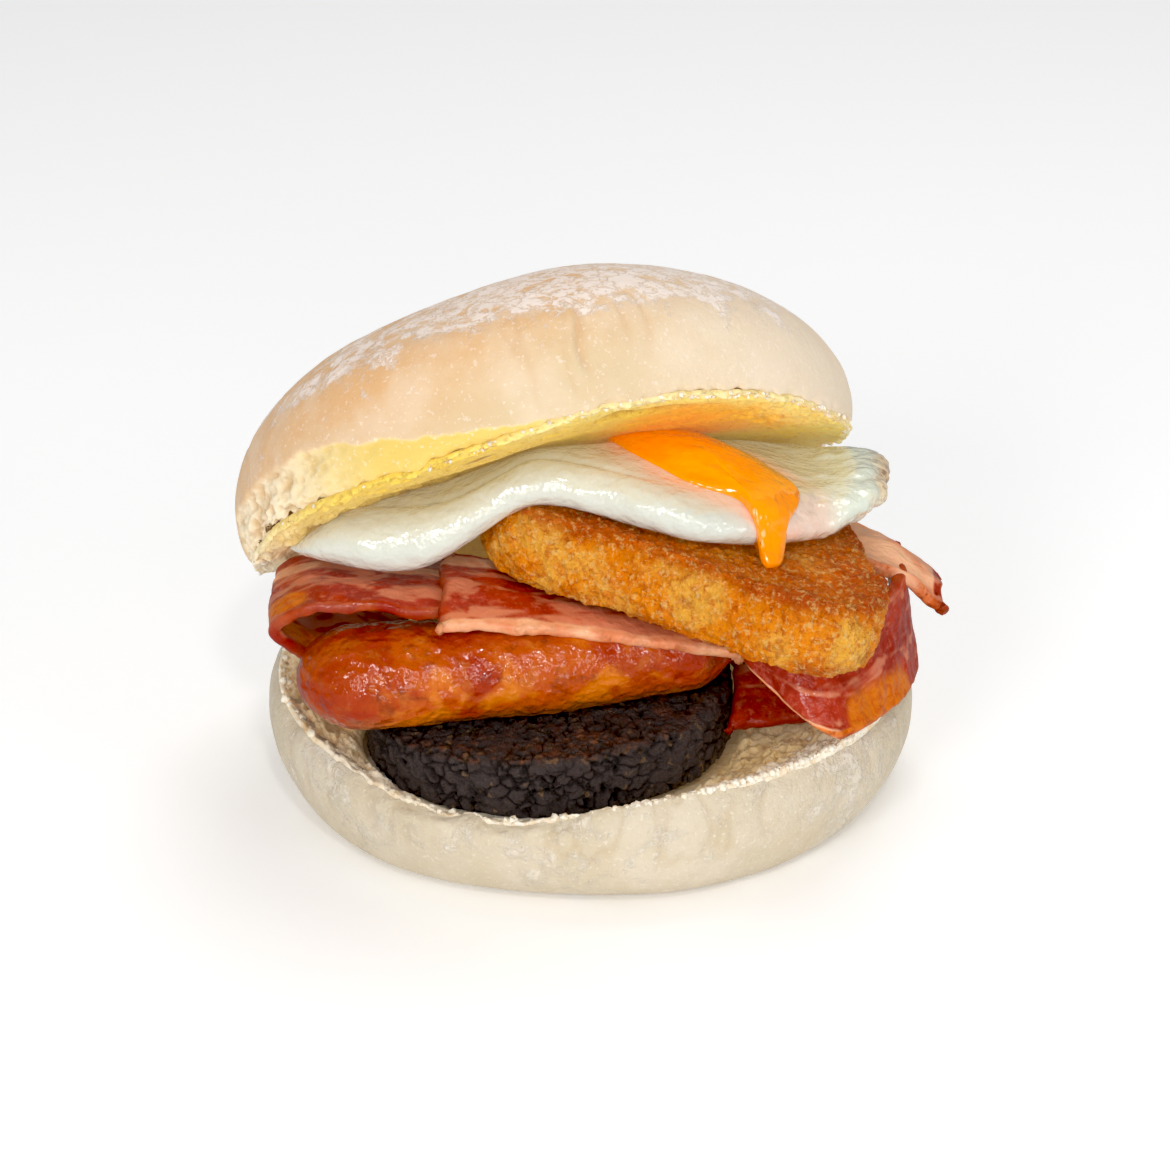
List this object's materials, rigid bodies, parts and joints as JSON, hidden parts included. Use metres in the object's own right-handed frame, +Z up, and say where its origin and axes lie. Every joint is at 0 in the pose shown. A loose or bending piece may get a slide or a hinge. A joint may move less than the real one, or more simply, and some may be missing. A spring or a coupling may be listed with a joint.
{
  "type": "filled breakfast bap",
  "caption": "Round floured bread roll, its top leaning back over a stacked filling of cooked breakfast foods; it rests on a flat base.",
  "frame": {"origin": "centre of the flat underside of the heel, the bottom half of the roll", "axes": "+Z up, +Y towards the back, where the top half comes down on the bottom half, +X to the right seen from the open front"},
  "size_m": [0.1338, 0.124, 0.1096],
  "materials": {
    "heel": "pale floured crust with a soft open crumb on top",
    "crown": "pale tan crust dusted with white flour, buttered yellow crumb below",
    "black_pudding": "near-black, coarse and dry, with brown and pale flecks",
    "sausage": "fried orange-brown skin, wet and wrinkled",
    "bacon": "pink-red lean and pale fat, wet, browned at the edges",
    "hash_brown": "golden granular fried crust",
    "egg_white": "glossy ivory white, browned at its right edge",
    "yolk": "runny saturated orange, wet"
  },
  "bodies": {
    "root": {"heel": "heel", "black_pudding": "black_pudding", "sausage": "sausage", "bacon_low": "bacon", "bacon_flap": "bacon", "bacon_right": "bacon", "bacon_middle": "bacon", "bacon_left": "bacon", "hash_brown": "hash_brown", "egg_white": "egg_white", "yolk": "yolk", "crown": "crown"}
  },
  "joints": []
}
